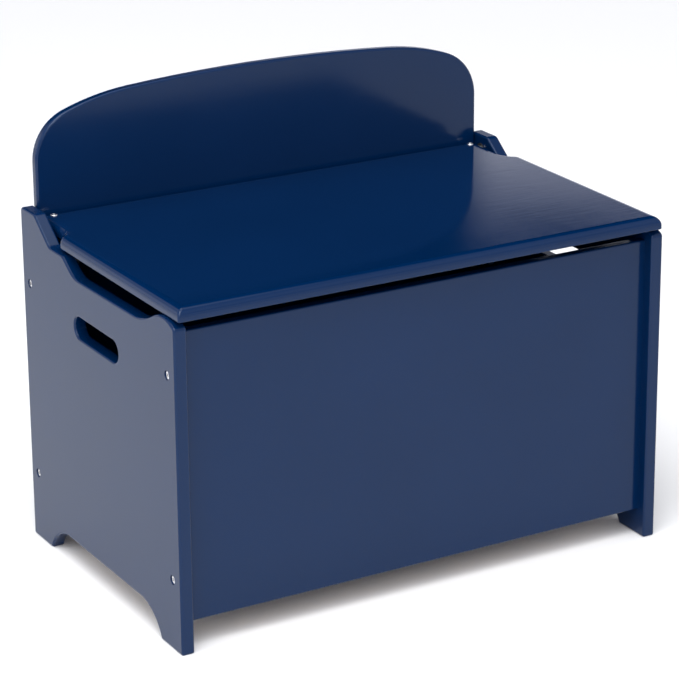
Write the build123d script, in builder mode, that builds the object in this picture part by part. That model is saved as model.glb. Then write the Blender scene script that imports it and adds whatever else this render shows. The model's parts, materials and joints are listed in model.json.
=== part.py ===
from build123d import *
import os
from math import acos, asin, cos, degrees, radians, sin, sqrt, tan

# A wooden toy box whose lid is also a seat, with an upright backrest.
# Millimetres. The origin is on the floor, under the middle of the two side panels.
# +X is the right-hand side seen from the front, +Y is the back and +Z is up.

# ---------------------------------------------------------------- driving sizes
WIDTH = 610.0              # over both side panels
DEPTH = 376.0              # side panels, front to back
SEAT_H = 387.0             # floor to the top of the lid
TOTAL_H = 524.0            # floor to the top of the backrest

SIDE_T = 15.0              # side panel thickness
LID_T = 15.0               # lid thickness
BOARD_T = 12.0             # front and back panel thickness
BACKREST_T = 12.0
BASE_T = 9.0               # bottom panel thickness
CLEAT = 15.0               # square section of the cleats under the bottom panel

SIDE_EDGE_R = 2.5          # rounding of the side panels' edges
PANEL_EDGE_R = 2.0         # rounding of the front and back panels' long edges
BACKREST_EDGE_R = 3.0
LID_TOP_EDGE_R = 10.0
LID_BOTTOM_EDGE_R = 1.5
LID_ARRIS_R = 2.0          # the lid's upright corners

# Gaps and heights that are part of the design
FRONT_INSET = 12.5         # front panel behind the side panels' front edges
FRONT_GAP = 15.0           # lid underside above the front panel
BACK_GAP = 12.0            # lid underside above the back panel
LEG_H = 31.0               # floor to the panels' bottom edges and the arches' tops
REST_GAP = 0.4             # lid underside above the humps
BASE_CLEAR = 0.5           # round the bottom panel
BACKREST_CLEAR = 1.0       # each end of the backrest to a side panel
BACKREST_LAP = 110.0       # height of backrest that lies on the back panel

# Side panel outline
FOOT_LEN = 49.0
FOOT_CORNER_R = 2.0
ARCH_R = 54.0
EAR_RISE = 9.0             # ear top above the lid top
EAR_LEN = 37.0             # flat top of the ear
EAR_SLOPE = 37.0           # degrees
EAR_BACK_R = 5.0
EAR_FRONT_R = 9.0
SHELF_GAP = 4.0            # lid underside above the shelf in front of the ear
SHELF_FOOT_R = 12.0
SHELF_END = 108.0          # back edge to the front end of the shelf
SHELF_END_R = 12.0
FINGER_GAP = 22.0          # lid underside above the long dip
DIP_SLOPE = 33.0           # degrees, from the shelf down to the dip
DIP_BACK_R = 40.0
DIP_TILT = 1.0             # degrees, the dip rises this much towards the front
DIP_FRONT = 95.0           # front edge to the front end of the dip
HUMP_AT = 24.0             # front edge to the top of the hump
HUMP_R = 54.5              # behind the top of the hump
NOSE_R = 44.0              # in front of it
NOSE_CORNER_R = 5.0

# Handle slot
SLOT_LEN = 108.0
SLOT_H = 25.0
SLOT_BELOW_SEAT = 91.0     # lid top to the middle of the slot

# Lid outline
LID_INSET = 4.0            # lid edge inside the side panel's outer face
LID_OVERHANG = 3.5         # lid edge in front of the side panels
LID_REAR_GAP = 1.5         # lid edge to the backrest
LID_END_GAP = 3.0          # lid end to a side panel, between the ears
NOTCH_FROM_BACK = 93.0     # back edge to where the lid starts to narrow
NOTCH_ANGLE = 55.0         # degrees from the side edge
NOTCH_CORNER_R = 11.0
NOTCH_COVE_R = 20.0

# Backrest outline, half of it: corner, shoulder and crown arcs
CORNER_R = 59.0
SHOULDER_R = 300.0
SHOULDER_ANGLE = 20.0      # slope where the shoulder meets the corner
CROWN_ANGLE = 4.4          # slope where the crown meets the shoulder

# Lid pivot
PIVOT_TO_BACKREST = 11.5
PIVOT_R = 4.0
PIVOT_IN_LID = 26.0
PIVOT_IN_SIDE = 9.0
BUSH_WALL = 1.5
BUSH_LEN = 9.5
BUSH_FLANGE_R = 6.6
BUSH_FLANGE_T = 1.2
RUNNING_FIT = 0.05         # radial, pivot pin in its bush
LID_BOLT_IN = 12.0         # lid end to the bolt through the pivot pin
LID_BOLT_R = 2.0
LID_BOLT_HEAD_R = 4.2
LID_BOLT_HEAD_H = 1.3
LID_BOLT_PAST = 1.8        # bolt tip below the pin's axis

# Bolts, barrel nuts and dowels that join the panels to the sides
BOLT_ABOVE_LEGS = 50.0     # panels' bottom edges to the lower bolts
BOLT_BELOW_SEAT = 77.0     # lid top to the upper bolts
BOLT_R = 2.5
BOLT_HEAD_R = 4.25
BOLT_HEAD_H = 5.0
BOLT_HEAD_CLEAR = 0.85     # radial, head in its counterbore
BOLT_SUNK = 1.2            # head below the side panel's face
BOLT_HEX = 4.0             # across the flats of the socket
BOLT_PAST_NUT = 7.0
NUT_R = 5.0
NUT_LEN = 10.0
NUT_IN = 30.0              # panel end to the barrel nut
DOWEL_R = 3.0
DOWEL_IN_SIDE = 9.0
DOWEL_IN_PANEL = 21.0
DOWEL_SHARES = (0.3, 0.7)  # of the way from the lower bolts to the upper ones

# Wood screws
SCREW_R = 1.75
SCREW_HEAD_R = 3.6
SCREW_HEAD_H = 2.2
SMALL_SCREW_R = 1.4
SMALL_HEAD_R = 2.6
SMALL_HEAD_H = 1.4

HOLE_CLEAR = 0.1           # radial, every fastener and dowel in its hole

# Lid stay: a slotted arm that hangs from the lid and slides on a stud
STAY_R = 80.0              # lid pivot to the arm's rivet, and to the stud
ARM_GAP = 1.1              # arm's upper end below the lid
STUD_ANGLE = 34.0          # degrees below level
LID_OPEN = 80.0            # degrees
ARM_T = 2.0
ARM_W = 16.0
ARM_FROM_SIDE = 3.0
STUD_R = 4.0
STUD_CLEAR = 0.4           # radial, stud in the arm's slot
STUD_COLLAR_R = 7.0
SIDE_PLAY = 0.4            # along X, each side of the arm
PLATE_T = 1.5
PLATE_LEN = 40.0
PLATE_W = 16.0
PLATE_SCREW_AT = 14.0      # stud to a screw
KNOB_R = 9.0
KNOB_T = 4.6
KNOB_TOP_T = 2.2
BRACKET_T = 1.5
BRACKET_LEN = 28.0
BRACKET_W = 20.0
BRACKET_EAR_R = 7.5
BRACKET_SCREW_AT = 9.0
RIVET_R = 2.4
RIVET_HEAD_R = 4.2
RIVET_HEAD_T = 1.2

# -------------------------------------------------------------- derived places
half_w = WIDTH / 2
half_d = DEPTH / 2
inner_x = half_w - SIDE_T
lid_bottom = SEAT_H - LID_T
ear_top = SEAT_H + EAR_RISE
shelf_top = lid_bottom - SHELF_GAP
dip_top = lid_bottom - FINGER_GAP
hump_top = lid_bottom - REST_GAP

backrest_y = half_d - BACKREST_T
front_y = -half_d + FRONT_INSET
front_inside = front_y + BOARD_T
back_inside = backrest_y - BOARD_T
front_mid = front_y + BOARD_T / 2
back_mid = back_inside + BOARD_T / 2
front_top = lid_bottom - FRONT_GAP
back_top = lid_bottom - BACK_GAP
base_z = LEG_H + CLEAT

pivot_y = backrest_y - PIVOT_TO_BACKREST
pivot_z = SEAT_H - LID_T / 2
lid_half = half_w - LID_INSET
lid_end = inner_x - LID_END_GAP
lid_front = -half_d - LID_OVERHANG
lid_rear = backrest_y - LID_REAR_GAP
lid_bolt_x = lid_end - LID_BOLT_IN

bolt_zs = (LEG_H + BOLT_ABOVE_LEGS, SEAT_H - BOLT_BELOW_SEAT)
dowel_zs = [bolt_zs[0] + share * (bolt_zs[1] - bolt_zs[0]) for share in DOWEL_SHARES]
slot_z = SEAT_H - SLOT_BELOW_SEAT
bolt_seat_x = half_w - BOLT_SUNK - BOLT_HEAD_H
nut_x = inner_x - NUT_IN
bolt_len = bolt_seat_x - nut_x + BOLT_PAST_NUT

rivet_angle = degrees(asin((LID_T / 2 + ARM_GAP + ARM_W / 2) / STAY_R))
stay_gap = STUD_ANGLE - rivet_angle
slot_near = 2 * STAY_R * sin(radians(stay_gap / 2))
slot_far = 2 * STAY_R * sin(radians((stay_gap + LID_OPEN) / 2))


def on_stay_circle(angle):
    """Point (y, z) on the circle about the lid pivot, at an angle below level."""
    return (pivot_y - STAY_R * cos(radians(angle)), pivot_z - STAY_R * sin(radians(angle)))


rivet_y, rivet_z = on_stay_circle(rivet_angle)
stud_y, stud_z = on_stay_circle(STUD_ANGLE)

# Distances of the stay's layers from the side panel's inner face
arm_out = ARM_FROM_SIDE
arm_in = arm_out + ARM_T
knob_out = arm_in + SIDE_PLAY
ear_out = arm_in + 1.5 * SIDE_PLAY


# --------------------------------------------------------------------- helpers
def facing(point, direction):
    """Plane at a point, whose normal is the way out of a hole or the head's side."""
    return Plane(origin=point, z_dir=direction)


def save(piece, name):
    """Label a finished piece and write it as its own STEP file."""
    piece.part.label = name
    export_step(piece.part, f"parts/{name}.step")


def mirrored(piece):
    """The same piece for the right-hand side."""
    with BuildPart() as other:
        mirror(piece.part, about=Plane.YZ)
    return other


def face_edges(piece, axis):
    """Every edge of the two largest faces across an axis."""
    faces = piece.faces().filter_by(axis).sort_by(SortBy.AREA)[-2:]
    return faces.edges()


def wood_screws(planes, length, shank_r, head_r, head_h):
    """Countersunk screws, heads flush with their planes, as separate solids."""
    with BuildPart() as screws:
        with Locations(*planes):
            Cone(shank_r, head_r, head_h, align=(Align.CENTER, Align.CENTER, Align.MAX))
        with Locations(*[plane.offset(-head_h) for plane in planes]):
            Cylinder(shank_r, length - 2 * head_h, align=(Align.CENTER, Align.CENTER, Align.MAX))
        with Locations(*[plane.offset(head_h - length) for plane in planes]):
            Cone(0.2 * shank_r, shank_r, head_h, align=(Align.CENTER, Align.CENTER, Align.MAX))
        with BuildSketch(*planes):
            Rectangle(head_r, head_r / 5)
            Rectangle(head_r / 5, head_r)
        extrude(amount=-head_h / 2, mode=Mode.SUBTRACT)
    return screws


def screw_holes(planes, length, shank_r, head_r, head_h):
    """Clearance for countersunk screws, cut from the part being built."""
    with Locations(*planes):
        CounterSinkHole(
            shank_r + HOLE_CLEAR,
            head_r + HOLE_CLEAR,
            depth=length + HOLE_CLEAR,
            counter_sink_angle=2 * degrees(asin((head_r - shank_r) / sqrt((head_r - shank_r) ** 2 + head_h**2))),
        )


def pilot_holes(planes, depth, shank_r):
    """Plain blind holes for screw shanks, cut from the part being built."""
    with Locations(*planes):
        Hole(shank_r + HOLE_CLEAR, depth=depth + HOLE_CLEAR)


# ------------------------------------------------------ where the fasteners go
def side_planes(x, points, direction):
    """Planes at one x that face along X, at (y, z) points."""
    return [facing((x, y, z), (direction, 0, 0)) for y, z in points]


bolt_points = [(y, z) for y in (front_mid, back_mid) for z in bolt_zs]
dowel_points = [(y, z) for y in (front_mid, back_mid) for z in dowel_zs]

# Cleat screws: from inside the box through a cleat into the panel behind it
cleat_z = LEG_H + CLEAT / 2
long_cleat_half = inner_x - CLEAT - 5
short_cleat_half = (back_inside - front_inside) / 2 - CLEAT - 8
inside_mid = (back_inside + front_inside) / 2
long_screw_xs = (-0.8 * long_cleat_half, 0.0, 0.8 * long_cleat_half)
short_screw_ys = (inside_mid - 0.8 * short_cleat_half, inside_mid + 0.8 * short_cleat_half)
front_cleat_planes = [facing((x, front_inside + CLEAT, cleat_z), (0, 1, 0)) for x in long_screw_xs]
back_cleat_planes = [facing((x, back_inside - CLEAT, cleat_z), (0, -1, 0)) for x in long_screw_xs]
left_cleat_planes = [facing((-inner_x + CLEAT, y, cleat_z), (1, 0, 0)) for y in short_screw_ys]
right_cleat_planes = [facing((inner_x - CLEAT, y, cleat_z), (-1, 0, 0)) for y in short_screw_ys]
CLEAT_SCREW_LEN = 22.0
cleat_screw_grip = CLEAT_SCREW_LEN - CLEAT

# Bottom panel screws: down into the cleats, clear of the cleat screws
base_top = base_z + BASE_T
BASE_SCREW_LEN = 20.0
base_screw_grip = BASE_SCREW_LEN - BASE_T
base_screw_xs = (-0.4 * long_cleat_half, 0.4 * long_cleat_half)
base_screw_points = [(x, y) for x in base_screw_xs
                     for y in (front_inside + CLEAT / 2, back_inside - CLEAT / 2)]
base_screw_points += [(x, inside_mid) for x in (-inner_x + CLEAT / 2, inner_x - CLEAT / 2)]
base_planes = [facing((x, y, base_top), (0, 0, 1)) for x, y in base_screw_points]

# Backrest screws: from behind through the backrest into the back panel
backrest_bottom = back_top - BACKREST_LAP
backrest_half = inner_x - BACKREST_CLEAR
BACKREST_SCREW_LEN = 20.0
backrest_screw_grip = BACKREST_SCREW_LEN - BACKREST_T
backrest_screw_zs = (backrest_bottom + 0.25 * BACKREST_LAP, backrest_bottom + 0.75 * BACKREST_LAP)
backrest_screw_xs = [share * backrest_half for share in (-0.84, -0.28, 0.28, 0.84)]
backrest_planes = [facing((x, half_d, z), (0, 1, 0)) for x in backrest_screw_xs for z in backrest_screw_zs]

# Stay fasteners on the left-hand side
PLATE_SCREW_LEN = 12.0
plate_points = [(stud_y, stud_z - PLATE_SCREW_AT), (stud_y, stud_z + PLATE_SCREW_AT)]
plate_planes = side_planes(-inner_x + PLATE_T, plate_points, 1)
BRACKET_SCREW_LEN = 10.0
bracket_screw_x = -inner_x + ear_out + 0.6 * BRACKET_W
bracket_planes = [facing((bracket_screw_x, y, lid_bottom - BRACKET_T), (0, 0, -1))
                  for y in (rivet_y - BRACKET_SCREW_AT, rivet_y + BRACKET_SCREW_AT)]


def to_right(planes):
    """The same planes on the right-hand side."""
    return [facing((-p.origin.X, p.origin.Y, p.origin.Z), (-p.z_dir.X, p.z_dir.Y, p.z_dir.Z)) for p in planes]


os.makedirs("parts", exist_ok=True)

# ----------------------------------------------------------------- side panels
ear_front = half_d - EAR_LEN
shelf_back = ear_front - (ear_top - shelf_top) / tan(radians(EAR_SLOPE))
shelf_front = half_d - SHELF_END
dip_back = shelf_front - (shelf_top - dip_top) / tan(radians(DIP_SLOPE))
dip_front = -half_d + DIP_FRONT
dip_front_top = dip_top + (dip_back - dip_front) * tan(radians(DIP_TILT))
hump_y = -half_d + HUMP_AT

# The rise to the hump is two tangent arcs, and the nose in front of it two more
rise = hump_top - dip_front_top
run = dip_front - hump_y
tilt_y = cos(radians(DIP_TILT))
tilt_z = sin(radians(DIP_TILT))
rise_r = (run**2 + rise**2 - 2 * HUMP_R * rise) / (2 * (HUMP_R - run * tilt_z - tilt_y * (HUMP_R - rise)))
rise_angle = degrees(asin((run + rise_r * tilt_z) / (rise_r + HUMP_R)))
nose_angle = degrees(asin((HUMP_AT - NOSE_CORNER_R) / (NOSE_R - NOSE_CORNER_R)))

arch_angle = degrees(acos((ARCH_R - LEG_H) / ARCH_R))
arch_half = half_d - FOOT_LEN - ARCH_R * sin(radians(arch_angle))

with BuildPart() as left_side_panel:
    with BuildSketch(Plane.YZ.offset(-half_w)) as outline:
        with BuildLine():
            FilletPolyline(
                (half_d, 0), (half_d, ear_top), (ear_front, ear_top), (shelf_back, shelf_top),
                (shelf_front, shelf_top), (dip_back, dip_top), (dip_front, dip_front_top),
                radius=(EAR_BACK_R, EAR_FRONT_R, SHELF_FOOT_R, SHELF_END_R, DIP_BACK_R),
            )
            low = JernArc((dip_front, dip_front_top), (-tilt_y, tilt_z), rise_r, DIP_TILT - rise_angle)
            high = JernArc(low @ 1, low % 1, HUMP_R, rise_angle)
            nose = JernArc(high @ 1, high % 1, NOSE_R, nose_angle)
            corner = JernArc(nose @ 1, nose % 1, NOSE_CORNER_R, 90 - nose_angle)
            Line(corner @ 1, (-half_d, 0))
            Line((-half_d, 0), (-half_d + FOOT_LEN, 0))
            CenterArc((-arch_half, LEG_H - ARCH_R), ARCH_R, 90, arch_angle)
            Line((-arch_half, LEG_H), (arch_half, LEG_H))
            CenterArc((arch_half, LEG_H - ARCH_R), ARCH_R, 90 - arch_angle, arch_angle)
            Line((half_d - FOOT_LEN, 0), (half_d, 0))
        make_face()
        fillet(outline.vertices().group_by(Axis.Y)[0], FOOT_CORNER_R)
        with Locations((0, slot_z)):
            SlotOverall(SLOT_LEN, SLOT_H, mode=Mode.SUBTRACT)
    extrude(amount=SIDE_T)
    fillet(face_edges(left_side_panel, Axis.X), SIDE_EDGE_R)
    with Locations(*side_planes(-half_w, bolt_points, -1)):
        CounterBoreHole(BOLT_R + HOLE_CLEAR, BOLT_HEAD_R + BOLT_HEAD_CLEAR, BOLT_SUNK + BOLT_HEAD_H)
    with Locations(*side_planes(-inner_x, dowel_points, 1)):
        Hole(DOWEL_R + HOLE_CLEAR, depth=DOWEL_IN_SIDE + 0.5)
    with Locations(*side_planes(-inner_x, [(pivot_y, pivot_z)], 1)):
        Hole(PIVOT_R + RUNNING_FIT + BUSH_WALL + RUNNING_FIT, depth=BUSH_LEN + 0.5)
    pilot_holes(side_planes(-inner_x, [(p.origin.Y, p.origin.Z) for p in left_cleat_planes], 1),
                cleat_screw_grip, SCREW_R)
    pilot_holes(side_planes(-inner_x, plate_points, 1), PLATE_SCREW_LEN - PLATE_T, SMALL_SCREW_R)
save(left_side_panel, "left_side_panel")
save(mirrored(left_side_panel), "right_side_panel")


# ------------------------------------------------------- front and back panels
def board_between_sides(outer_y, top, nuts_face, inward):
    """Upright board across the box, bored at both ends for bolts, nuts and dowels.

    nuts_face is the y of the face that the barrel nuts go in from, and inward is
    +1 or -1, the way that face looks."""
    mid = (outer_y + nuts_face) / 2
    with BuildPart() as board:
        with BuildSketch(Plane.XZ.offset(-outer_y)):
            with Locations((0, (top + LEG_H) / 2)):
                Rectangle(2 * inner_x, top - LEG_H)
        extrude(amount=-(nuts_face - outer_y))
        fillet(board.edges().filter_by(Axis.X), PANEL_EDGE_R)
        for side in (-1, 1):
            with Locations(*side_planes(side * inner_x, [(mid, z) for z in bolt_zs], side)):
                Hole(BOLT_R + HOLE_CLEAR, depth=inner_x - nut_x + BOLT_PAST_NUT + 2)
            with Locations(*side_planes(side * inner_x, [(mid, z) for z in dowel_zs], side)):
                Hole(DOWEL_R + HOLE_CLEAR, depth=DOWEL_IN_PANEL + 0.5)
            with Locations(*[facing((side * nut_x, nuts_face, z), (0, inward, 0)) for z in bolt_zs]):
                Hole(NUT_R + HOLE_CLEAR, depth=NUT_LEN + 1)
    return board


front_panel = board_between_sides(front_y, front_top, front_inside, 1)
with front_panel:
    pilot_holes([facing((p.origin.X, front_inside, p.origin.Z), (0, 1, 0)) for p in front_cleat_planes],
                cleat_screw_grip, SCREW_R)
save(front_panel, "front_panel")

back_panel = board_between_sides(backrest_y, back_top, back_inside, -1)
with back_panel:
    pilot_holes([facing((p.origin.X, back_inside, p.origin.Z), (0, -1, 0)) for p in back_cleat_planes],
                cleat_screw_grip, SCREW_R)
    pilot_holes([facing((p.origin.X, backrest_y, p.origin.Z), (0, 1, 0)) for p in backrest_planes],
                backrest_screw_grip, SCREW_R)
save(back_panel, "back_panel")


# ---------------------------------------------------- bottom panel and cleats
def cleat(size_x, size_y, centre, planes):
    """Square batten with countersunk holes through it."""
    with BuildPart() as batten:
        with BuildSketch(Plane.XY.offset(LEG_H)):
            with Locations(centre):
                Rectangle(size_x, size_y)
        extrude(amount=CLEAT)
        screw_holes(planes, CLEAT_SCREW_LEN, SCREW_R, SCREW_HEAD_R, SCREW_HEAD_H)
        near = [p for p in base_planes if abs(p.origin.X - centre[0]) <= size_x / 2
                and abs(p.origin.Y - centre[1]) <= size_y / 2]
        pilot_holes([facing((p.origin.X, p.origin.Y, base_z), (0, 0, 1)) for p in near],
                    base_screw_grip, SCREW_R)
    return batten


long_len = 2 * long_cleat_half
short_len = 2 * short_cleat_half
save(cleat(long_len, CLEAT, (0, front_inside + CLEAT / 2), front_cleat_planes), "front_cleat")
save(cleat(long_len, CLEAT, (0, back_inside - CLEAT / 2), back_cleat_planes), "back_cleat")
save(cleat(CLEAT, short_len, (-inner_x + CLEAT / 2, inside_mid), left_cleat_planes), "left_cleat")
save(cleat(CLEAT, short_len, (inner_x - CLEAT / 2, inside_mid), right_cleat_planes), "right_cleat")

with BuildPart() as bottom_panel:
    with BuildSketch(Plane.XY.offset(base_z)):
        with Locations((0, inside_mid)):
            Rectangle(2 * (inner_x - BASE_CLEAR), back_inside - front_inside - 2 * BASE_CLEAR)
    extrude(amount=BASE_T)
    screw_holes(base_planes, BASE_SCREW_LEN, SCREW_R, SCREW_HEAD_R, SCREW_HEAD_H)
save(bottom_panel, "bottom_panel")

# -------------------------------------------------------------------- backrest
crown_share = sin(radians(CROWN_ANGLE))
shoulder_share = sin(radians(SHOULDER_ANGLE))
crown_r = (backrest_half - CORNER_R * (1 - shoulder_share)
           - SHOULDER_R * (shoulder_share - crown_share)) / crown_share

with BuildPart() as backrest:
    with BuildSketch(Plane.XZ.offset(-backrest_y)):
        with BuildLine():
            crown = JernArc((0, TOTAL_H), (1, 0), crown_r, -CROWN_ANGLE)
            shoulder = JernArc(crown @ 1, crown % 1, SHOULDER_R, CROWN_ANGLE - SHOULDER_ANGLE)
            corner = JernArc(shoulder @ 1, shoulder % 1, CORNER_R, SHOULDER_ANGLE - 90)
            Line(corner @ 1, (backrest_half, backrest_bottom))
            Line((backrest_half, backrest_bottom), (0, backrest_bottom))
            mirror(about=Plane.YZ)
        make_face()
    extrude(amount=-BACKREST_T)
    fillet(face_edges(backrest, Axis.Y), BACKREST_EDGE_R)
    screw_holes(backrest_planes, BACKREST_SCREW_LEN, SCREW_R, SCREW_HEAD_R, SCREW_HEAD_H)
save(backrest, "backrest")

# ------------------------------------------------------------------------- lid
notch_y = half_d - NOTCH_FROM_BACK
notch_end = notch_y + (lid_half - lid_end) / tan(radians(NOTCH_ANGLE))

with BuildPart() as lid:
    with BuildSketch(Plane.XY.offset(lid_bottom)):
        with BuildLine():
            FilletPolyline(
                (lid_half, lid_front), (lid_half, notch_y), (lid_end, notch_end), (lid_end, lid_rear),
                radius=(NOTCH_CORNER_R, NOTCH_COVE_R),
            )
            Line((0, lid_front), (lid_half, lid_front))
            Line((lid_end, lid_rear), (0, lid_rear))
            mirror(about=Plane.YZ)
        make_face()
    extrude(amount=LID_T)
    uprights = lid.edges().filter_by(Axis.Z).group_by(Axis.Y)
    fillet(uprights[0] + uprights[-1], LID_ARRIS_R)
    fillet(lid.faces().sort_by(Axis.Z)[-1].edges(), LID_TOP_EDGE_R)
    fillet(lid.faces().sort_by(Axis.Z)[0].edges(), LID_BOTTOM_EDGE_R)
    for side in (-1, 1):
        with Locations(facing((side * lid_end, pivot_y, pivot_z), (side, 0, 0))):
            Hole(PIVOT_R + HOLE_CLEAR, depth=PIVOT_IN_LID + 0.5)
        with Locations(facing((side * lid_bolt_x, pivot_y, SEAT_H), (0, 0, 1))):
            Hole(LID_BOLT_R + HOLE_CLEAR, depth=LID_T / 2)
    lid_screw_planes = [facing((p.origin.X, p.origin.Y, lid_bottom), (0, 0, -1)) for p in bracket_planes]
    pilot_holes(lid_screw_planes + to_right(lid_screw_planes), BRACKET_SCREW_LEN - BRACKET_T, SMALL_SCREW_R)
save(lid, "lid")


# ------------------------------------------------- bolts, barrel nuts, dowels
def socket_bolts(planes):
    """Socket-head bolts whose heads sit below their planes."""
    heads = [plane.offset(-BOLT_SUNK) for plane in planes]
    with BuildPart() as bolts:
        with Locations(*heads):
            Cylinder(BOLT_HEAD_R, BOLT_HEAD_H, align=(Align.CENTER, Align.CENTER, Align.MAX))
        with Locations(*[plane.offset(-BOLT_HEAD_H) for plane in heads]):
            Cylinder(BOLT_R, bolt_len, align=(Align.CENTER, Align.CENTER, Align.MAX))
        with BuildSketch(*heads):
            RegularPolygon(BOLT_HEX / 2, 6, major_radius=False)
        extrude(amount=-BOLT_HEAD_H / 2, mode=Mode.SUBTRACT)
    return bolts


def barrel_nuts(nuts_face, inward):
    """Cross dowel nuts, a driver slot in the end that shows."""
    start = nuts_face - inward * 0.5
    planes = [facing((side * nut_x, start, z), (0, inward, 0)) for side in (-1, 1) for z in bolt_zs]
    mid = nuts_face - inward * BOARD_T / 2
    with BuildPart() as nuts:
        with Locations(*planes):
            Cylinder(NUT_R, NUT_LEN, align=(Align.CENTER, Align.CENTER, Align.MAX))
        with BuildSketch(*planes):
            Rectangle(2 * NUT_R, 1.2)
        extrude(amount=-1.0, mode=Mode.SUBTRACT)
        with Locations(*[facing((side * nut_x, mid, z), (1, 0, 0)) for side in (-1, 1) for z in bolt_zs]):
            Cylinder(BOLT_R + HOLE_CLEAR, 3 * NUT_R, mode=Mode.SUBTRACT)
    return nuts


def dowels(y):
    """Wooden dowels across both joints of one board."""
    length = DOWEL_IN_SIDE + DOWEL_IN_PANEL
    with BuildPart() as pegs:
        for side in (-1, 1):
            with Locations(*side_planes(side * (inner_x + DOWEL_IN_SIDE), [(y, z) for z in dowel_zs], side)):
                Cylinder(DOWEL_R, length, align=(Align.CENTER, Align.CENTER, Align.MAX))
        chamfer(pegs.edges().filter_by(GeomType.CIRCLE), 0.6)
    return pegs


left_bolts = socket_bolts(side_planes(-half_w, bolt_points, -1))
save(left_bolts, "left_bolts")
save(mirrored(left_bolts), "right_bolts")
save(barrel_nuts(front_inside, 1), "front_barrel_nuts")
save(barrel_nuts(back_inside, -1), "back_barrel_nuts")
save(dowels(front_mid), "front_dowels")
save(dowels(back_mid), "back_dowels")

# ---------------------------------------------------------------- wood screws
all_cleat_planes = front_cleat_planes + back_cleat_planes + left_cleat_planes + right_cleat_planes
save(wood_screws(all_cleat_planes, CLEAT_SCREW_LEN, SCREW_R, SCREW_HEAD_R, SCREW_HEAD_H), "cleat_screws")
save(wood_screws(base_planes, BASE_SCREW_LEN, SCREW_R, SCREW_HEAD_R, SCREW_HEAD_H), "bottom_screws")
save(wood_screws(backrest_planes, BACKREST_SCREW_LEN, SCREW_R, SCREW_HEAD_R, SCREW_HEAD_H),
     "backrest_screws")

# ------------------------------------------------------------------- lid pivot
pin_cross = facing((-lid_bolt_x, pivot_y, pivot_z + PIVOT_R), (0, 0, 1))

with BuildPart() as left_pivot_pin:
    with Locations(facing((-inner_x - PIVOT_IN_SIDE, pivot_y, pivot_z), (-1, 0, 0))):
        Cylinder(PIVOT_R, PIVOT_IN_SIDE + LID_END_GAP + PIVOT_IN_LID,
                 align=(Align.CENTER, Align.CENTER, Align.MAX))
    chamfer(left_pivot_pin.edges().filter_by(GeomType.CIRCLE), 0.5)
    with Locations(pin_cross):
        Hole(LID_BOLT_R + HOLE_CLEAR, depth=PIVOT_R + LID_BOLT_PAST + 0.5)
save(left_pivot_pin, "left_pivot_pin")
save(mirrored(left_pivot_pin), "right_pivot_pin")

bush_r = PIVOT_R + RUNNING_FIT + BUSH_WALL
with BuildPart() as left_pivot_bush:
    with Locations(facing((-inner_x, pivot_y, pivot_z), (1, 0, 0))):
        Cylinder(bush_r, BUSH_LEN, align=(Align.CENTER, Align.CENTER, Align.MAX))
        Cylinder(BUSH_FLANGE_R, BUSH_FLANGE_T, align=(Align.CENTER, Align.CENTER, Align.MIN))
        Cylinder(PIVOT_R + RUNNING_FIT, 4 * BUSH_LEN, mode=Mode.SUBTRACT)
save(left_pivot_bush, "left_pivot_bush")
save(mirrored(left_pivot_bush), "right_pivot_bush")

lid_bolt_planes = [facing((side * lid_bolt_x, pivot_y, SEAT_H), (0, 0, 1)) for side in (-1, 1)]
with BuildPart() as lid_pin_bolts:
    with Locations(*lid_bolt_planes):
        Cylinder(LID_BOLT_HEAD_R, LID_BOLT_HEAD_H, align=(Align.CENTER, Align.CENTER, Align.MIN))
    fillet(lid_pin_bolts.faces().group_by(Axis.Z)[-1].edges(), 0.8 * LID_BOLT_HEAD_H)
    with Locations(*lid_bolt_planes):
        Cylinder(LID_BOLT_R, LID_T / 2 + LID_BOLT_PAST, align=(Align.CENTER, Align.CENTER, Align.MAX))
    with BuildSketch(*[plane.offset(LID_BOLT_HEAD_H) for plane in lid_bolt_planes]):
        RegularPolygon(0.75 * LID_BOLT_R, 6, major_radius=False)
    extrude(amount=-0.6 * LID_BOLT_HEAD_H, mode=Mode.SUBTRACT)
save(lid_pin_bolts, "lid_pin_bolts")

# -------------------------------------------------------------------- lid stay
with BuildPart() as left_stay_guide:
    with BuildSketch(Plane.YZ.offset(-inner_x)):
        with Locations((stud_y, stud_z)):
            SlotOverall(PLATE_LEN, PLATE_W, rotation=90)
    extrude(amount=PLATE_T)
    with Locations(facing((-inner_x, stud_y, stud_z), (1, 0, 0))):
        Cylinder(STUD_COLLAR_R, arm_out - SIDE_PLAY, align=(Align.CENTER, Align.CENTER, Align.MIN))
        Cylinder(STUD_R, knob_out + KNOB_T - KNOB_TOP_T - 0.2, align=(Align.CENTER, Align.CENTER, Align.MIN))
    screw_holes(plate_planes, PLATE_SCREW_LEN, SMALL_SCREW_R, SMALL_HEAD_R, SMALL_HEAD_H)
save(left_stay_guide, "left_stay_guide")
save(mirrored(left_stay_guide), "right_stay_guide")

with BuildPart() as left_guide_knob:
    with Locations(facing((-inner_x + knob_out, stud_y, stud_z), (1, 0, 0))):
        Cylinder(KNOB_R, KNOB_T, align=(Align.CENTER, Align.CENTER, Align.MIN))
        Cylinder(STUD_R + HOLE_CLEAR, 2 * (KNOB_T - KNOB_TOP_T), mode=Mode.SUBTRACT)
    fillet(left_guide_knob.faces().sort_by(Axis.X)[-1].edges(), 1.2)
save(left_guide_knob, "left_guide_knob")
save(mirrored(left_guide_knob), "right_guide_knob")

guide_planes = plate_planes + to_right(plate_planes)
save(wood_screws(guide_planes, PLATE_SCREW_LEN, SMALL_SCREW_R, SMALL_HEAD_R, SMALL_HEAD_H), "guide_screws")

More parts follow.
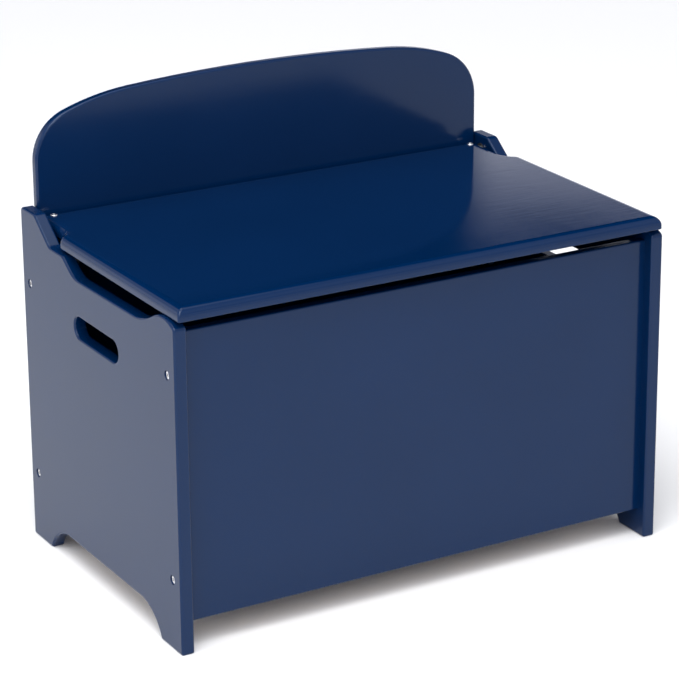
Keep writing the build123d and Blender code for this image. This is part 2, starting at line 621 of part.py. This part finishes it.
arm_dir = Vector(0, stud_y - rivet_y, stud_z - rivet_z).normalized()
arm_plane = Plane(origin=(-inner_x + arm_out, rivet_y, rivet_z), x_dir=arm_dir, z_dir=(1, 0, 0))
with BuildPart() as left_stay_arm:
    with BuildSketch(arm_plane):
        with Locations((slot_far / 2, 0)):
            SlotCenterToCenter(slot_far, ARM_W)
        with Locations(((slot_near + slot_far) / 2, 0)):
            SlotCenterToCenter(slot_far - slot_near, 2 * (STUD_R + STUD_CLEAR), mode=Mode.SUBTRACT)
        Circle(RIVET_R + HOLE_CLEAR, mode=Mode.SUBTRACT)
    extrude(amount=ARM_T)
save(left_stay_arm, "left_stay_arm")
save(mirrored(left_stay_arm), "right_stay_arm")

with BuildPart() as left_lid_bracket:
    with BuildSketch(Plane.YZ.offset(-inner_x + ear_out)):
        with Locations((rivet_y, rivet_z)):
            Circle(BRACKET_EAR_R)
        with Locations((rivet_y, (rivet_z + lid_bottom) / 2)):
            Rectangle(2 * BRACKET_EAR_R, lid_bottom - rivet_z)
        with Locations((rivet_y, rivet_z)):
            Circle(RIVET_R + HOLE_CLEAR, mode=Mode.SUBTRACT)
    extrude(amount=BRACKET_T)
    with BuildSketch(Plane.XY.offset(lid_bottom)):
        with Locations((-inner_x + ear_out + BRACKET_W / 2, rivet_y)):
            Rectangle(BRACKET_W, BRACKET_LEN)
    extrude(amount=-BRACKET_T)
    screw_holes(bracket_planes, BRACKET_SCREW_LEN, SMALL_SCREW_R, SMALL_HEAD_R, SMALL_HEAD_H)
save(left_lid_bracket, "left_lid_bracket")
save(mirrored(left_lid_bracket), "right_lid_bracket")

rivet_outer = arm_out - SIDE_PLAY
rivet_inner = ear_out + BRACKET_T
with BuildPart() as left_stay_rivet:
    with Locations(facing((-inner_x + rivet_outer, rivet_y, rivet_z), (1, 0, 0))):
        Cylinder(RIVET_R, rivet_inner - rivet_outer, align=(Align.CENTER, Align.CENTER, Align.MIN))
        Cylinder(RIVET_HEAD_R, RIVET_HEAD_T, align=(Align.CENTER, Align.CENTER, Align.MAX))
    with Locations(facing((-inner_x + rivet_inner, rivet_y, rivet_z), (1, 0, 0))):
        Cylinder(RIVET_HEAD_R, RIVET_HEAD_T, align=(Align.CENTER, Align.CENTER, Align.MIN))
    fillet(left_stay_rivet.faces().sort_by(Axis.X)[-1].edges(), 0.6 * RIVET_HEAD_T)
save(left_stay_rivet, "left_stay_rivet")
save(mirrored(left_stay_rivet), "right_stay_rivet")

stay_planes = bracket_planes + to_right(bracket_planes)
save(wood_screws(stay_planes, BRACKET_SCREW_LEN, SMALL_SCREW_R, SMALL_HEAD_R, SMALL_HEAD_H),
     "bracket_screws")
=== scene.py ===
import json
import math

import bmesh
import bpy
from mathutils import Matrix, Vector

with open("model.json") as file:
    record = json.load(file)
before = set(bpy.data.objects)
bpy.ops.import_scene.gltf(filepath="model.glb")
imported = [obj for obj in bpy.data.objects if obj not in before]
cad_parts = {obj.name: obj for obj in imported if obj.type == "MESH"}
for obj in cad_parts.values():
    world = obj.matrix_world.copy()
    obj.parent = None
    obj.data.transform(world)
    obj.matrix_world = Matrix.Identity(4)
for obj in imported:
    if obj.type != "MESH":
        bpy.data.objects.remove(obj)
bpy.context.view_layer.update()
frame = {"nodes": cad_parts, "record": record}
SCENE = bpy.context.scene
SCENE.view_settings.view_transform = "Standard"

# ------------------------------------------------------------------ camera
SENSOR = 36.0                         # mm
LENS = 150.42062                      # mm
SHIFT = (-0.03755523, -0.08762887)    # as a share of the picture's width
EYE = Vector((-1.5041, -2.6124, 1.3351))
YAW, PITCH, ROLL = (math.radians(a) for a in (30.426, 18.784, 0.262))


def add_camera():
    """A long lens from the front left and above, with the photograph's viewing angle."""
    data = bpy.data.cameras.new("camera")
    data.sensor_width = SENSOR
    data.lens = LENS
    data.shift_x, data.shift_y = SHIFT
    data.clip_end = 60.0
    camera = bpy.data.objects.new("camera", data)
    SCENE.collection.objects.link(camera)
    ahead = Vector((math.sin(YAW) * math.cos(PITCH), math.cos(YAW) * math.cos(PITCH), -math.sin(PITCH)))
    right = Vector((math.cos(YAW), -math.sin(YAW), 0.0))
    down = ahead.cross(right)
    rolled_right = right * math.cos(ROLL) + down * math.sin(ROLL)
    rolled_down = down * math.cos(ROLL) - right * math.sin(ROLL)
    turn = Matrix((rolled_right, -rolled_down, -ahead)).transposed()
    camera.matrix_world = Matrix.Translation(EYE) @ turn.to_4x4()
    SCENE.camera = camera


# ------------------------------------------------------------- node helpers
def new_material(name):
    """A material with an empty shader, its node tree and its Principled node."""
    material = bpy.data.materials.new(name)
    material.use_nodes = True
    return material, material.node_tree, material.node_tree.nodes["Principled BSDF"]


def object_coords(tree, scale=(1.0, 1.0, 1.0)):
    """Object coordinates in metres, stretched along each axis."""
    where = tree.nodes.new("ShaderNodeTexCoord")
    mapping = tree.nodes.new("ShaderNodeMapping")
    mapping.inputs["Scale"].default_value = scale
    tree.links.new(where.outputs["Object"], mapping.inputs["Vector"])
    return mapping.outputs["Vector"]


def noise(tree, coords, scale, detail=3.0, roughness=0.5):
    """Noise from 0 to 1 at a scale per metre."""
    node = tree.nodes.new("ShaderNodeTexNoise")
    node.inputs["Scale"].default_value = scale
    node.inputs["Detail"].default_value = detail
    node.inputs["Roughness"].default_value = roughness
    tree.links.new(coords, node.inputs["Vector"])
    return node.outputs["Fac"]


def spread(tree, value, low, high, from_low=0.3, from_high=0.7):
    """Maps a noise value to a range."""
    node = tree.nodes.new("ShaderNodeMapRange")
    node.inputs["From Min"].default_value = from_low
    node.inputs["From Max"].default_value = from_high
    node.inputs["To Min"].default_value = low
    node.inputs["To Max"].default_value = high
    tree.links.new(value, node.inputs["Value"])
    return node.outputs["Result"]


def blend_colours(tree, factor, dark, light):
    """A colour between two, by a factor from 0 to 1."""
    node = tree.nodes.new("ShaderNodeMix")
    node.data_type = "RGBA"
    node.inputs["A"].default_value = (*dark, 1.0)
    node.inputs["B"].default_value = (*light, 1.0)
    tree.links.new(factor, node.inputs["Factor"])
    return node.outputs["Result"]


def bump(tree, height, strength, distance, before=None):
    """A bump node, after another if one is given."""
    node = tree.nodes.new("ShaderNodeBump")
    node.inputs["Strength"].default_value = strength
    node.inputs["Distance"].default_value = distance
    tree.links.new(height, node.inputs["Height"])
    if before is not None:
        tree.links.new(before, node.inputs["Normal"])
    return node.outputs["Normal"]


# ---------------------------------------------------------------- materials
NAVY_DARK = (0.0001, 0.0124, 0.0530)
NAVY_LIGHT = (0.0002, 0.0136, 0.0582)
PAINT_IOR = 1.38
PAINT_SPECULAR_TINT = (0.76, 0.86, 1.0, 1.0)
PANEL_ROUGHNESS = 0.14
SIDE_ROUGHNESS = 0.17
LID_ROUGHNESS = 0.08
ROUGHNESS_SPREAD = 0.02               # how far the paint's roughness wanders either way
X_AXIS, Z_AXIS = 0, 2
GRAIN_STRETCH = 14.0                  # how much longer the grain is than it is wide
GRAIN_SCALE = 260.0                   # this and the scales below are per metre
CLOUD_SCALE = 7.0
ROLLER_SCALE = 900.0
WOOD_DARK = (0.36, 0.21, 0.10)
WOOD_LIGHT = (0.60, 0.42, 0.24)
RING_STRETCH = (0.06, 1.0, 1.0)
RING_SCALE = 120.0
METAL_SCALE = 700.0
PLASTIC_SCALE = 1500.0


def colour_and_roughness(tree, shader, pattern, colours, roughness):
    """The pattern turns the base colour from dark to light and the roughness from low to high."""
    tint = spread(tree, pattern, 0.0, 1.0)
    tree.links.new(blend_colours(tree, tint, *colours), shader.inputs["Base Color"])
    tree.links.new(spread(tree, pattern, *roughness), shader.inputs["Roughness"])


def painted_board(name, grain_axis, roughness):
    """Navy paint over board: fine roller texture, and faint grain along one axis."""
    material, tree, shader = new_material(name)
    along = [1.0, 1.0, 1.0]
    along[grain_axis] = 1.0 / GRAIN_STRETCH
    grain = noise(tree, object_coords(tree, along), GRAIN_SCALE, detail=4.0, roughness=0.6)
    cloud = noise(tree, object_coords(tree), CLOUD_SCALE, detail=3.0)
    roller = noise(tree, object_coords(tree), ROLLER_SCALE, detail=2.0)
    low_and_high = (roughness - ROUGHNESS_SPREAD, roughness + ROUGHNESS_SPREAD)
    colour_and_roughness(tree, shader, cloud, (NAVY_DARK, NAVY_LIGHT), low_and_high)
    shader.inputs["IOR"].default_value = PAINT_IOR
    shader.inputs["Specular Tint"].default_value = PAINT_SPECULAR_TINT
    normal = bump(tree, grain, strength=0.12, distance=0.0002)
    normal = bump(tree, roller, strength=0.10, distance=0.0001, before=normal)
    tree.links.new(normal, shader.inputs["Normal"])
    return material


def bare_wood(name):
    """Planed softwood for the hidden cleats and dowels."""
    material, tree, shader = new_material(name)
    rings = noise(tree, object_coords(tree, RING_STRETCH), RING_SCALE, detail=5.0, roughness=0.6)
    colour_and_roughness(tree, shader, rings, (WOOD_DARK, WOOD_LIGHT), (0.55, 0.75))
    tree.links.new(bump(tree, rings, strength=0.3, distance=0.0003), shader.inputs["Normal"])
    return material


def metal(name, dark, light, low, high):
    """Plated steel with a fine uneven sheen."""
    material, tree, shader = new_material(name)
    fine = noise(tree, object_coords(tree), METAL_SCALE, detail=3.0)
    colour_and_roughness(tree, shader, fine, (dark, light), (low, high))
    shader.inputs["Metallic"].default_value = 1.0
    tree.links.new(bump(tree, fine, strength=0.05, distance=0.0001), shader.inputs["Normal"])
    return material


def plastic(name, dark, light, low, high):
    """Moulded plastic with a fine grain."""
    material, tree, shader = new_material(name)
    fine = noise(tree, object_coords(tree), PLASTIC_SCALE, detail=3.0)
    colour_and_roughness(tree, shader, fine, (dark, light), (low, high))
    tree.links.new(bump(tree, fine, strength=0.2, distance=0.0001), shader.inputs["Normal"])
    return material


def dress_nodes():
    """Each CAD node gets its slot's finish; the side panels' grain is upright and the lid is glossier."""
    paint = painted_board("navy_paint_x", X_AXIS, PANEL_ROUGHNESS)
    side_paint = painted_board("navy_paint_z", Z_AXIS, SIDE_ROUGHNESS)
    lid_paint = painted_board("navy_paint_lid", X_AXIS, LID_ROUGHNESS)
    finishes = {
        "navy_paint": paint,
        "bare_wood": bare_wood("bare_wood"),
        "bright_bolts": metal("nickel", (0.80, 0.80, 0.81), (0.93, 0.92, 0.92), 0.16, 0.28),
        "zinc_steel": metal("zinc", (0.42, 0.44, 0.46), (0.62, 0.63, 0.64), 0.28, 0.42),
        "black_plastic": plastic("black_plastic", (0.010, 0.010, 0.011), (0.022, 0.022, 0.024), 0.4, 0.55),
    }
    own_paint = {"left_side_panel": side_paint, "right_side_panel": side_paint, "lid": lid_paint}
    for entry in frame["record"]["subparts"]:
        name = entry["node"]
        node = frame["nodes"][name]
        node.data.materials.clear()
        node.data.materials.append(own_paint.get(name, finishes[entry["material_slot"]]))


# --------------------------------------------------------- floor and lights
FLOOR_HALF = 14.0
FLOOR_COLOUR = (0.95, 0.95, 0.95, 1.0)
LIGHT_TARGET = (0.0, 0.0, 0.2)


def add_floor():
    """Plain pale floor."""
    mesh = bpy.data.meshes.new("floor")
    edit = bmesh.new()
    bmesh.ops.create_grid(edit, x_segments=1, y_segments=1, size=FLOOR_HALF)
    edit.to_mesh(mesh)
    edit.free()
    floor = bpy.data.objects.new("floor", mesh)
    SCENE.collection.objects.link(floor)
    material, tree, shader = new_material("floor")
    cloud = noise(tree, object_coords(tree), 2.0, 2.0)
    tree.links.new(spread(tree, cloud, 0.75, 0.8), shader.inputs["Roughness"])
    shader.inputs["Base Color"].default_value = FLOOR_COLOUR
    shader.inputs["Specular IOR Level"].default_value = 0.2
    mesh.materials.append(material)


def add_area(name, place, size, power):
    """A square soft light that faces the object and is hidden from the camera."""
    data = bpy.data.lights.new(name, "AREA")
    data.shape = "RECTANGLE"
    data.size = size
    data.size_y = size
    data.energy = power
    light = bpy.data.objects.new(name, data)
    SCENE.collection.objects.link(light)
    light.location = place
    facing = Vector(LIGHT_TARGET) - Vector(place)
    light.rotation_euler = facing.to_track_quat("-Z", "Y").to_euler()
    light.visible_camera = False


# (elevation in degrees, colour) of the studio: all round, and in the dark corner behind the
# object between CORNER_START and +X, where a low white wall starts at WALL_START
DARK = (0.001, 0.003, 0.010)
DIM = (0.45, 0.46, 0.50)
PALE = (0.95, 0.96, 1.02)
LOW_HAZE = (0.84, 0.86, 0.97)
WHITE_WALL = (1.15, 1.17, 1.30)
LAMPS = (2.2, 2.2, 2.2)
CEILING = ((68.0, LAMPS), (90.0, LAMPS))
OPEN_SKY = (
    (0.0, (1.15, 1.16, 1.22)),
    (13.0, (1.0, 1.0, 1.05)),
    (17.0, DIM),
    (20.0, DIM),
    (25.0, PALE),
    (35.0, PALE),
    (48.0, (0.75, 0.76, 0.82)),
    (61.0, (0.55, 0.56, 0.62)),
    *CEILING,
)
CORNER_WALL = (
    (0.0, LOW_HAZE),
    (15.5, WHITE_WALL),
    (16.6, WHITE_WALL),
    (17.0, (0.33, 0.34, 0.40)),
    (17.5, (0.02, 0.024, 0.04)),
    (18.2, DARK),
    (61.0, DARK),
    *CEILING,
)
CORNER_DARK = ((0.0, LOW_HAZE), (13.0, LOW_HAZE), (15.5, DARK), (61.0, DARK), *CEILING)
CORNER_START = -17.0                  # degrees from +Y towards +X
WALL_START = 32.75                    # degrees from +Y towards +X
WALL_EDGE = (-0.004, 0.004)           # sines over which the wall starts
CORNER_EDGE = (-0.10, 0.05)           # sines over which the corner starts


def sky_ramp(tree, height, stops):
    """A colour by elevation, from the sine of the elevation."""
    ramp = tree.nodes.new("ShaderNodeValToRGB")
    ready = ramp.color_ramp.elements
    given = len(ready)
    for index, (elevation, colour) in enumerate(stops):
        place = math.sin(math.radians(elevation))
        stop = ready[index] if index < given else ready.new(place)
        stop.position = place
        stop.color = (*colour, 1.0)
    tree.links.new(height, ramp.inputs["Fac"])
    return ramp.outputs["Color"]


def mix_colours(tree, factor, first, second):
    """One colour socket or the other, by a factor from 0 to 1."""
    mix = tree.nodes.new("ShaderNodeMix")
    mix.data_type = "RGBA"
    tree.links.new(factor, mix.inputs["Factor"])
    tree.links.new(first, mix.inputs["A"])
    tree.links.new(second, mix.inputs["B"])
    return mix.outputs["Result"]


def past(tree, direction, azimuth):
    """How far a direction lies past an azimuth, as a sine."""
    node = tree.nodes.new("ShaderNodeVectorMath")
    node.operation = "DOT_PRODUCT"
    angle = math.radians(azimuth)
    node.inputs[1].default_value = (math.cos(angle), -math.sin(angle), 0.0)
    tree.links.new(direction, node.inputs[0])
    return node.outputs["Value"]


def add_world():
    """Pale studio, dark in one corner above a low white wall."""
    world = bpy.data.worlds.new("studio")
    world.use_nodes = True
    tree = world.node_tree
    where = tree.nodes.new("ShaderNodeTexCoord")
    split = tree.nodes.new("ShaderNodeSeparateXYZ")
    direction = where.outputs["Generated"]
    tree.links.new(direction, split.inputs["Vector"])
    wall = spread(tree, past(tree, direction, WALL_START), 0.0, 1.0, *WALL_EDGE)
    least = tree.nodes.new("ShaderNodeMath")
    least.operation = "MINIMUM"
    tree.links.new(past(tree, direction, CORNER_START), least.inputs[0])
    tree.links.new(split.outputs["Y"], least.inputs[1])
    corner = spread(tree, least.outputs["Value"], 0.0, 1.0, *CORNER_EDGE)
    height = split.outputs["Z"]
    dark_side = sky_ramp(tree, height, CORNER_DARK)
    wall_side = sky_ramp(tree, height, CORNER_WALL)
    in_corner = mix_colours(tree, wall, dark_side, wall_side)
    colour = mix_colours(tree, corner, sky_ramp(tree, height, OPEN_SKY), in_corner)
    tree.links.new(colour, tree.nodes["Background"].inputs["Color"])
    SCENE.world = world


dress_nodes()
add_camera()
add_floor()
add_world()
add_area("side", (-2.4, 0.3, 1.1), 1.4, 9.0)
add_area("key", (-1.2, -1.2, 3.2), 2.2, 75.0)
add_area("fill", (-1.4, -2.6, 2.0), 1.8, 20.0)
